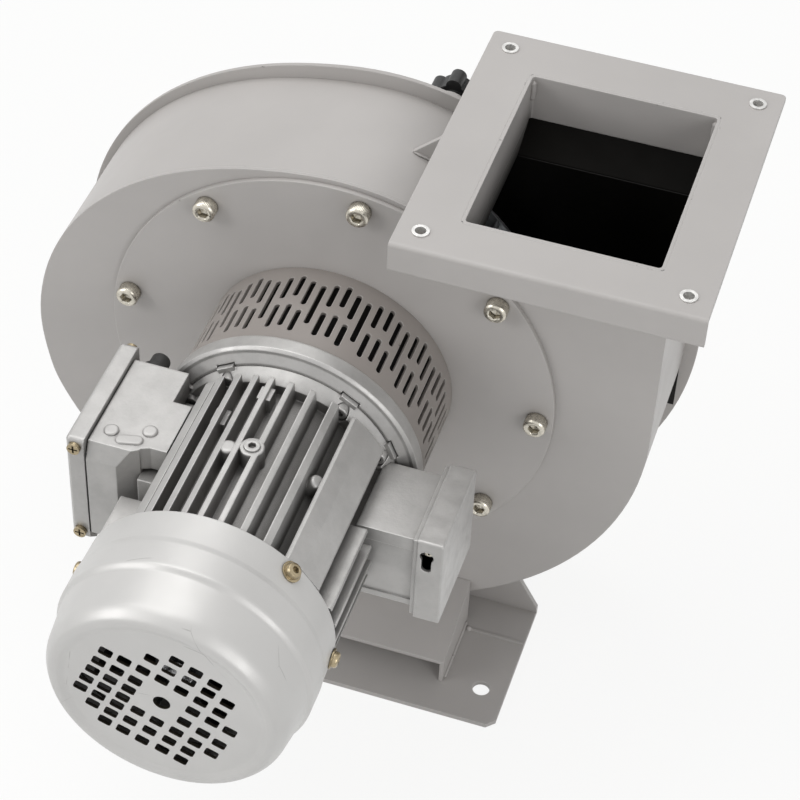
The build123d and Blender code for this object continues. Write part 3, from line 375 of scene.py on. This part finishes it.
def rolledSheet(name, look):
    material, tree, shader = startMaterial(name)
    spangle = addNode(tree, "ShaderNodeTexVoronoi")
    spangle.inputs["Scale"].default_value = look["spangleScale"]
    place = addNode(tree, "ShaderNodeTexCoord")
    tree.links.new(place.outputs["Object"], spangle.inputs["Vector"])
    flake = addNode(tree, "ShaderNodeSeparateColor")
    tree.links.new(spangle.outputs["Color"], flake.inputs[0])
    colour = mixColour(tree, flake.outputs[0], rgba(look["colour"], 0.85), rgba(look["colour"], 1.08))
    tree.links.new(withCornerShade(tree, look, 0.01, colour), shader.inputs["Base Color"])
    unevenRoughness(tree, shader, look, flake.outputs[1], 0.08, 0.1, 0.0, 1.0)
    shader.inputs["Metallic"].default_value = look["metallic"]
    streaks = noiseOf(tree, 240.0, 2.0, 0.6, stretch=(1, 0.08, 1))
    bumpOf(tree, shader, [(streaks, 0.00002)], look["bevel"])
    return material


def moulded(name, look):
    material, tree, shader = startMaterial(name)
    colour = mottledTone(tree, noiseOf(tree, 90.0, 4.0), look, 0.8, 1.25)
    # painted highlight along the edges, partly also wear
    litAndWornEdges = times(tree, edgeMask(tree, 0.0008), 0.35)
    tree.links.new(mixColour(tree, litAndWornEdges, colour, rgba(look["edgeColour"])), shader.inputs["Base Color"])
    unevenRoughness(tree, shader, look, noiseOf(tree, 250.0, 3.0), 0.06, 0.08)
    bumpOf(tree, shader, [(noiseOf(tree, 1100.0, 2.0), look["grain"])], look["bevel"])
    return material


# in each look, the corner darkening is painted shade, the edge lightening a painted highlight, partly also
# wear, and the inside colour the painted shade of inner faces
casingLook = {
    "colour": (0.452, 0.43, 0.413), "mottleScale": 9.0, "edgeWidth": 0.0009, "edgeHighlight": 0.4,
    "insideShadeColour": (0.012, 0.0105, 0.009), "specular": 0.45,
    "edgeColour": (0.72, 0.7, 0.67), "cornerShade": 0.35, "cornerShadeColour": (0.16, 0.145, 0.13),
    "chipScale": 130.0, "chipFrom": 0.665, "chipWidth": 0.0025, "chipColour": (0.05, 0.045, 0.04),
    "roughness": 0.46, "metallic": 0.0, "coat": 0.12, "peel": 0.00003, "wave": 0.0004, "bevel": 0.0009,
}
coverLook = {
    "colour": (0.56, 0.55, 0.535), "mottleScale": 14.0, "edgeWidth": 0.0008, "edgeHighlight": 0.4,
    "insideShadeColour": (0.03, 0.025, 0.018), "specular": 0.5,
    "edgeColour": (0.85, 0.84, 0.82), "cornerShade": 0.3, "cornerShadeColour": (0.2, 0.19, 0.175),
    "scratchScale": 21.0, "scratchWidth": 0.006, "scratchDepth": 0.45,
    "chipScale": 220.0, "chipFrom": 0.7, "chipWidth": 0.001, "chipColour": (0.12, 0.11, 0.1),
    "roughness": 0.4, "metallic": 0.3, "coat": 0.1, "peel": 0.00003, "wave": 0.0002, "bevel": 0.0006,
}
castLook = {
    "colour": (0.455, 0.445, 0.432),
    "edgeWidth": 0.0011, "edgeHighlight": 0.6, "edgeColour": (0.85, 0.84, 0.82),
    "cornerShade": 0.75, "cornerShadeColour": (0.1, 0.093, 0.087), "cornerShadeReach": 0.015, "roughness": 0.38,
    "metallic": 0.45, "grain": 0.00006, "lumps": 0.0002, "bevel": 0.0011,
}
nickelLook = {
    "colour": (0.6, 0.565, 0.49), "cornerShade": 0.8, "cornerShadeColour": (0.07, 0.06, 0.045), "roughness": 0.24,
    "metallic": 0.9, "bevel": 0.0003,
}
yellowZincLook = {
    "colour": (0.4, 0.33, 0.215), "cornerShade": 0.85, "cornerShadeColour": (0.05, 0.04, 0.025), "roughness": 0.28,
    "metallic": 0.9, "bevel": 0.0003,
}
zincLook = {
    "colour": (0.56, 0.56, 0.55), "cornerShade": 0.6, "cornerShadeColour": (0.08, 0.075, 0.07), "roughness": 0.34,
    "metallic": 0.85, "bevel": 0.0003,
}
bearingLook = {
    "colour": (0.6, 0.6, 0.61), "cornerShade": 0.4, "cornerShadeColour": (0.08, 0.08, 0.08), "roughness": 0.18,
    "metallic": 1.0, "bevel": 0.0003,
}
laminationLook = {
    "colour": (0.24, 0.235, 0.23), "cornerShade": 0.5, "cornerShadeColour": (0.05, 0.045, 0.04), "roughness": 0.45,
    "metallic": 0.8, "bevel": 0.0003,
}
copperLook = {
    "colour": (0.5, 0.21, 0.09), "cornerShade": 0.6, "cornerShadeColour": (0.08, 0.04, 0.02), "roughness": 0.32,
    "metallic": 0.7, "bevel": 0.0005,
}
galvanisedLook = {
    "colour": (0.5, 0.51, 0.52), "spangleScale": 90.0, "cornerShade": 0.5, "cornerShadeColour": (0.1, 0.1, 0.1),
    "roughness": 0.38, "metallic": 0.85, "bevel": 0.0004,
}
# near-black steel for the parts inside the casing: painted shade
ductShadeLook = {
    "colour": (0.05, 0.044, 0.04), "mottleScale": 14.0, "edgeWidth": 0.001, "edgeHighlight": 0.25,
    "specular": 0.3, "edgeColour": (0.3, 0.28, 0.26), "cornerShade": 0.3, "cornerShadeColour": (0.02, 0.018, 0.016),
    "chipScale": 130.0, "chipFrom": 0.75, "chipWidth": 0.002, "chipColour": (0.02, 0.02, 0.02),
    "roughness": 0.5, "metallic": 0.2, "coat": 0.0, "peel": 0.00003, "wave": 0.0003, "bevel": 0.0006,
}
blackPlasticLook = {
    "colour": (0.016, 0.016, 0.016), "edgeColour": (0.09, 0.09, 0.09), "roughness": 0.42, "grain": 0.00004,
    "bevel": 0.0006,
}
rubberLook = {
    "colour": (0.018, 0.017, 0.016), "edgeColour": (0.07, 0.07, 0.068), "roughness": 0.6, "grain": 0.00005,
    "bevel": 0.0006,
}
greyPlasticLook = {
    "colour": (0.12, 0.12, 0.125), "edgeColour": (0.25, 0.25, 0.25), "roughness": 0.5, "grain": 0.00004,
    "bevel": 0.0005,
}

insertLook = dict(zincLook, colour=(0.74, 0.73, 0.71), cornerShade=0.25, metallic=0.6)
ringLook = dict(casingLook, colour=(0.29, 0.262, 0.243), roughness=0.42, coat=0.1, cornerShade=0.5)
# near-black painted shade for the inner faces of the transition and the back plate
ductLook = dict(casingLook, specular=0.06, coat=0.0, roughness=0.7, insideShadeColour=(0.004, 0.0036, 0.003))
backLook = dict(casingLook, specular=0.15, coat=0.0, insideShadeColour=(0.004, 0.0036, 0.003))

slotFinish = {
    "casing_paint": powderCoat("warmGreyPowderCoat", casingLook),
    "silver_paint": powderCoat("silverCoverPaint", coverLook),
    "cast_aluminium": castMetal("silverDieCasting", castLook),
    "dark_steel": powderCoat("ductSteelPaintedShade", ductShadeLook),
    "zinc_steel": plated("zincPlate", zincLook),
    "nickel_screw": plated("nickelPlate", nickelLook),
    "yellow_zinc": plated("yellowZincPlate", yellowZincLook),
    "bearing_steel": plated("groundBearingSteel", bearingLook),
    "lamination_steel": plated("varnishedLaminations", laminationLook),
    "copper_wire": plated("enamelledCopper", copperLook),
    "galvanised_sheet": rolledSheet("galvanisedSheet", galvanisedLook),
    "black_plastic": moulded("blackMoulding", blackPlasticLook),
    "grey_plastic": moulded("greyMoulding", greyPlasticLook),
    "black_rubber": moulded("blackRubber", rubberLook),
}

ownFinish = {
    "scroll_wrapper": powderCoat("wrapperCoat", casingLook, facesShaft),
    "front_plate": powderCoat("frontPlateCoat", casingLook, facesInlet),
    "back_plate": powderCoat("backPlateCoat", backLook, facesMotorInsideScroll),
    "outlet_collar": powderCoat("collarCoat", casingLook, fadesOnLeftWall),
    "outlet_flange": powderCoat("flangeCoat", casingLook, openingCorners),
    "outlet_transition": powderCoat("transitionCoat", ductLook, facesDuct),
    "fan_cover": powderCoat("coverCoat", coverLook, grilleWalls),
    "mount_disc": powderCoat("mountDiscCoat", casingLook, withinRing),
    "slotted_ring": powderCoat("slottedRingCoat", ringLook, facesShaft),
    "rivet_nuts": plated("insertZinc", insertLook),
    "adapter_plate": slotFinish["dark_steel"],
    "shield_screws": slotFinish["cast_aluminium"],
    "lifting_plug": slotFinish["cast_aluminium"],
}
slotOf = {part["node"]: part["material_slot"] for part in frame["record"]["subparts"]}
for nodeName, nodeObject in nodes.items():
    finish = ownFinish.get(nodeName, slotFinish[slotOf[nodeName]])
    for index in range(len(nodeObject.material_slots)):
        nodeObject.material_slots[index].material = finish
    if not nodeObject.material_slots:
        nodeObject.data.materials.append(finish)
print("finishes assigned")


# pieces made here

def finishPiece(piece, slot, body="housing", replaced=None, sharp=35):
    piece.data.materials.clear()
    piece.data.materials.append(slotFinish[slot])
    for face in piece.data.polygons:
        face.use_smooth = True
    piece.data.set_sharp_from_angle(angle=math.radians(sharp))
    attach(piece, body)
    if replaced:
        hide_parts(replaced)


def pieceFrom(name, mesh):
    data = bpy.data.meshes.new(name)
    mesh.normal_update()
    mesh.to_mesh(data)
    mesh.free()
    piece = bpy.data.objects.new(name, data)
    bpy.context.scene.collection.objects.link(piece)
    return piece


def joinRows(mesh, rows):
    # skins the rows of points and closes both ends
    for low, high in zip(rows, rows[1:]):
        for i in range(len(low)):
            j = (i + 1) % len(low)
            mesh.faces.new((low[i], low[j], high[j], high[i]))
    mesh.faces.new(list(reversed(rows[0])))
    mesh.faces.new(rows[-1])


def ringStack(mesh, rings, place, steps=144):
    # rings: (radius function of the angle, height); place maps (x, y, height) into the frame
    rows = []
    for radiusAt, height in rings:
        row = []
        for i in range(steps):
            angle = 2 * math.pi * i / steps
            radius = radiusAt(angle)
            row.append(mesh.verts.new(place(radius * math.cos(angle), radius * math.sin(angle), height)))
        rows.append(row)
    joinRows(mesh, rows)


def roundOf(radius):
    return lambda angle: radius


def knurlOf(radius, depth, teeth):
    return lambda angle: radius - depth * (0.5 - 0.5 * math.cos(teeth * angle))


def hexOf(across):
    def radiusAt(angle):
        part = (angle % (math.pi / 3)) - math.pi / 6
        return across / 2 / math.cos(part)
    return radiusAt


# crowns: how far in from the head's radius and how far below its top
discScrew = {
    "circle": 0.1235, "angles": (-80.3, -36.3, 7.1, 50.5, 90.3, 128.8, 178.5, 229.0), "seat": -0.003,
    "headRadius": 0.0065, "headHeight": 0.008, "knurlDepth": 0.00022, "knurlTeeth": 48, "knurlTop": 0.0011,
    "chamfer": 0.0004, "crown": ((0.0003, 0.0009), (0.0009, 0.0002), (0.0014, 0.0)),
    "socket": 0.006, "socketDepth": 0.0042, "mouthRadius": 0.0039, "mouthDepth": 0.0005,
    "pitRadius": 0.0006, "pitDepth": 0.0012, "shank": 0.004, "shankLength": 0.011,
}


def discScrewAt(mesh, angle, twist):
    x = discScrew["circle"] * math.sin(angle)
    z = shaftZ + discScrew["circle"] * math.cos(angle)
    seat = discScrew["seat"]

    def place(a, b, height):
        turnedA = a * math.cos(twist) - b * math.sin(twist)
        turnedB = a * math.sin(twist) + b * math.cos(twist)
        return (x + turnedA, seat - height, z + turnedB)

    head = discScrew["headRadius"]
    tall = discScrew["headHeight"]
    chamfer = discScrew["chamfer"]
    floor = tall - discScrew["socketDepth"]
    knurl = knurlOf(head, discScrew["knurlDepth"], discScrew["knurlTeeth"])
    rings = [
        (roundOf(discScrew["shank"]), -discScrew["shankLength"]),
        (roundOf(discScrew["shank"]), 0.0),
        (roundOf(head - chamfer), 0.0),
        (knurl, chamfer),
        (knurl, tall - discScrew["knurlTop"]),
    ]
    rings += [(roundOf(head - inward), tall - below) for inward, below in discScrew["crown"]]
    rings += [
        (roundOf(discScrew["mouthRadius"]), tall),
        (hexOf(discScrew["socket"]), tall - discScrew["mouthDepth"]),
        (hexOf(discScrew["socket"]), floor),
        (roundOf(discScrew["pitRadius"]), floor - discScrew["pitDepth"]),
    ]
    ringStack(mesh, rings, place)


random.seed(7)
screwMesh = bmesh.new()
for angle in discScrew["angles"]:
    discScrewAt(screwMesh, math.radians(angle), random.uniform(0, 2 * math.pi))
bmesh.ops.recalc_face_normals(screwMesh, faces=screwMesh.faces)
finishPiece(pieceFrom("discCapScrews", screwMesh), "nickel_screw", replaced="disc_screws")
print("disc cap screws made")

# rows: (radius, height) over the seat, from the shank's end up to the socket's mouth
coverScrew = {
    "angles": (42.0, 96.0, 222.0, 276.0), "y": -0.1986, "seatRadius": 0.06975,
    "shankRows": ((0.0024, -0.009), (0.0024, -0.0002)), "washerRows": ((0.0057, -0.0002), (0.0057, 0.0006)),
    "headRows": ((0.0044, 0.0007), (0.0044, 0.00222), (0.0039, 0.003256), (0.0031, 0.0037)),
    "mouth": (0.0019, 0.0037),
    "socket": 0.0036, "socketHeights": (0.0034, 0.0019),
}


def coverScrewAt(mesh, angle):
    y = coverScrew["y"]
    out = Vector((math.sin(angle), 0, math.cos(angle)))
    side = Vector((math.cos(angle), 0, -math.sin(angle)))

    def place(a, b, height):
        spot = out * (coverScrew["seatRadius"] + height) + side * a
        return (spot.x, y + b, shaftZ + spot.z)

    rows = coverScrew["shankRows"] + coverScrew["washerRows"] + coverScrew["headRows"]
    rings = [(roundOf(radius), height) for radius, height in rows + (coverScrew["mouth"],)]
    rings += [(hexOf(coverScrew["socket"]), height) for height in coverScrew["socketHeights"]]
    ringStack(mesh, rings, place, steps=72)


coverScrewMesh = bmesh.new()
for angle in coverScrew["angles"]:
    coverScrewAt(coverScrewMesh, math.radians(angle))
bmesh.ops.recalc_face_normals(coverScrewMesh, faces=coverScrewMesh.faces)
finishPiece(pieceFrom("coverCapScrews", coverScrewMesh), "yellow_zinc", replaced="cover_screws")
print("fan cover screws made")

weldBead = {
    "ripple": 0.22, "pitch": 0.0016, "step": 0.0005, "sides": 10, "uneven": 0.04, "flatness": 0.7,
    "taperSteps": 4,
}


def beadAlong(mesh, path, radius, facing):
    # path: points; facing: the way the bead bulges
    facing = Vector(facing).normalized()
    points = []
    for a, b in zip(path, path[1:]):
        a, b = Vector(a), Vector(b)
        count = max(1, int((b - a).length / weldBead["step"]))
        points += [a.lerp(b, i / count) for i in range(count)]
    points.append(Vector(path[-1]))
    rows = []
    travelled = 0.0
    for i, point in enumerate(points):
        ahead = points[min(i + 1, len(points) - 1)] - points[max(i - 1, 0)]
        along = ahead.normalized()
        acrossWay = along.cross(facing).normalized()
        travelled += weldBead["step"]
        wave = abs(math.sin(math.pi * travelled / weldBead["pitch"]))
        uneven = random.uniform(1 - weldBead["uneven"], 1 + weldBead["uneven"])
        size = radius * (1 - weldBead["ripple"] * (1 - wave)) * uneven
        end = min(1.0, (min(i, len(points) - 1 - i) + 1) / weldBead["taperSteps"])
        row = []
        for k in range(weldBead["sides"]):
            turn = 2 * math.pi * k / weldBead["sides"]
            lift = facing * math.sin(turn) * weldBead["flatness"]
            row.append(mesh.verts.new(point + (acrossWay * math.cos(turn) + lift) * size * end))
        rows.append(row)
    joinRows(mesh, rows)


def arcPath(radius, fromDegrees, toDegrees, y, count=40):
    path = []
    for i in range(count + 1):
        angle = math.radians(fromDegrees + (toDegrees - fromDegrees) * i / count)
        path.append((radius * math.cos(angle), y, shaftZ + radius * math.sin(angle)))
    return path


# seams along arcs round the shaft: radius, from and to in degrees, y, bead radius, the way they bulge
arcSeams = (
    (0.1368, 61, 77, 0.0448, 0.0012, (0.5, 0.0, 1.0)),
    (0.1368, 61, 77, 0.0412, 0.0012, (0.5, 0.0, 1.0)),
    (0.1888, 306.5, 319, 0.0187, 0.0013, (0.5, -0.6, -0.6)),
    (0.1888, 221, 233.5, 0.0187, 0.0013, (-0.5, -0.6, -0.6)),
)
cornerSeam = {
    "x": (0.0788, 0.1822), "y": 0.1070, "bulge": 0.0004, "heights": (0.3405, 0.334, 0.327), "bead": 0.0019,
}
footSeam = {"x": 0.0935, "y": (-0.05, -0.003), "height": 0.0038, "bead": 0.0012}

beadMesh = bmesh.new()
for radius, fromDegrees, toDegrees, y, bead, facing in arcSeams:
    beadAlong(beadMesh, arcPath(radius, fromDegrees, toDegrees, y), bead, facing)
for x, way in zip(cornerSeam["x"], (1, -1)):
    y, bulge = cornerSeam["y"], cornerSeam["bulge"]
    top, middle, low = cornerSeam["heights"]
    beadAlong(beadMesh, [(x, y, top), (x + bulge * way, y - bulge, middle), (x, y, low)],
              cornerSeam["bead"], (way, -1, 0))
for side in (-1, 1):
    seam = [(side * footSeam["x"], y, footSeam["height"]) for y in footSeam["y"]]
    beadAlong(beadMesh, seam, footSeam["bead"], (side, 0, 0.8))
bmesh.ops.recalc_face_normals(beadMesh, faces=beadMesh.faces)
finishPiece(pieceFrom("weldBeads", beadMesh), "casing_paint", sharp=70)
print("weld beads laid")


# stage, light and camera

stageLook = {
    "size": 14.0, "below": 0.0004, "floorColour": (0.86, 0.86, 0.855), "glowColour": (1.0, 1.0, 0.995),
    "backdropWhite": 1.0, "shadowKeep": 0.12, "ambientColour": (0.96, 0.98, 1.0), "ambient": 0.45,
}

floorMaterial, floorTree, floorShader = startMaterial("paleFloor")
floorShader.inputs["Base Color"].default_value = rgba(stageLook["floorColour"])
floorShader.inputs["Roughness"].default_value = 0.9
floorShader.inputs["Specular IOR Level"].default_value = 0.1
floorGlow = floorTree.nodes.new("ShaderNodeEmission")
floorGlow.inputs["Color"].default_value = rgba(stageLook["glowColour"])
floorGlow.inputs["Strength"].default_value = stageLook["backdropWhite"]


def seenDirectly(tree):
    # 1 for rays that show the backdrop: straight, through glass or off metal
    rays = tree.nodes.new("ShaderNodeLightPath")
    seen = either(tree, rays.outputs["Is Camera Ray"], rays.outputs["Is Transmission Ray"])
    return either(tree, seen, rays.outputs["Is Glossy Ray"])


floorBlend = floorTree.nodes.new("ShaderNodeMixShader")
glowShare = times(floorTree, seenDirectly(floorTree), 1 - stageLook["shadowKeep"])
floorTree.links.new(glowShare, floorBlend.inputs[0])
floorTree.links.new(floorShader.outputs["BSDF"], floorBlend.inputs[1])
floorTree.links.new(floorGlow.outputs[0], floorBlend.inputs[2])
floorTree.links.new(floorBlend.outputs[0], floorTree.nodes["Material Output"].inputs["Surface"])
floorMesh = bpy.data.meshes.new("floor")
half = stageLook["size"] / 2
floorMesh.from_pydata(
    [(-half, -half, 0), (half, -half, 0), (half, half, 0), (-half, half, 0)], [], [(0, 1, 2, 3)])
floorObject = bpy.data.objects.new("floor", floorMesh)
bpy.context.scene.collection.objects.link(floorObject)
floorObject.location = (0, 0, -stageLook["below"])
floorMesh.materials.append(floorMaterial)

world = bpy.data.worlds.new("studioWorld")
bpy.context.scene.world = world
world.use_nodes = True
worldTree = world.node_tree
worldTree.nodes.clear()
worldOut = worldTree.nodes.new("ShaderNodeOutputWorld")
ambient = worldTree.nodes.new("ShaderNodeBackground")
ambient.inputs["Color"].default_value = rgba(stageLook["ambientColour"])
ambient.inputs["Strength"].default_value = stageLook["ambient"]
backdrop = worldTree.nodes.new("ShaderNodeBackground")
backdrop.inputs["Color"].default_value = (1.0, 1.0, 1.0, 1.0)
backdrop.inputs["Strength"].default_value = stageLook["backdropWhite"]
blendShader = worldTree.nodes.new("ShaderNodeMixShader")
worldTree.links.new(seenDirectly(worldTree), blendShader.inputs[0])
worldTree.links.new(ambient.outputs[0], blendShader.inputs[1])
worldTree.links.new(backdrop.outputs[0], blendShader.inputs[2])
worldTree.links.new(blendShader.outputs[0], worldOut.inputs["Surface"])

lamps = {
    "overheadSoftbox": {"place": (-0.5, 0.3, 2.2), "aim": (0, 0, 0.2), "size": (2.0, 1.6), "power": 23.5},
    "leftSoftbox": {"place": (-1.9, -1.3, 1.5), "aim": (0, -0.05, 0.2), "size": (1.2, 1.4), "power": 19.0},
    "rightFill": {"place": (1.9, -1.6, 1.2), "aim": (0, -0.1, 0.2), "size": (1.2, 1.2), "power": 15.0},
}
for lampName, lamp in lamps.items():
    data = bpy.data.lights.new(lampName, "AREA")
    data.shape = "RECTANGLE"
    data.size, data.size_y = lamp["size"]
    data.energy = lamp["power"]
    lampObject = bpy.data.objects.new(lampName, data)
    bpy.context.scene.collection.objects.link(lampObject)
    lampObject.location = lamp["place"]
    aim = Vector(lamp["aim"]) - Vector(lamp["place"])
    lampObject.rotation_euler = aim.to_track_quat("-Z", "Y").to_euler()

cameraView = {
    "place": (0.314, -0.959, 1.177), "azimuth": 15.84, "elevation": 45.07, "roll": 3.08, "lens": 110.5,
}
azimuth, elevation, roll = (math.radians(cameraView[k]) for k in ("azimuth", "elevation", "roll"))
forward = Vector((-math.sin(azimuth) * math.cos(elevation), math.cos(azimuth) * math.cos(elevation),
                  -math.sin(elevation)))
right = Vector((math.cos(azimuth), math.sin(azimuth), 0))
up = right.cross(forward)
turnedRight = math.cos(roll) * right + math.sin(roll) * up
turnedUp = -math.sin(roll) * right + math.cos(roll) * up
axes = Matrix((turnedRight, turnedUp, -forward)).transposed().to_4x4()
cameraData = bpy.data.cameras.new("photoCamera")
cameraData.lens = cameraView["lens"]
cameraData.sensor_width = 36.0
cameraData.clip_start = 0.02
cameraObject = bpy.data.objects.new("photoCamera", cameraData)
bpy.context.scene.collection.objects.link(cameraObject)
cameraObject.matrix_world = Matrix.Translation(Vector(cameraView["place"])) @ axes
bpy.context.scene.camera = cameraObject
bpy.context.scene.view_settings.view_transform = "Standard"
print("stage, lamps and camera placed")
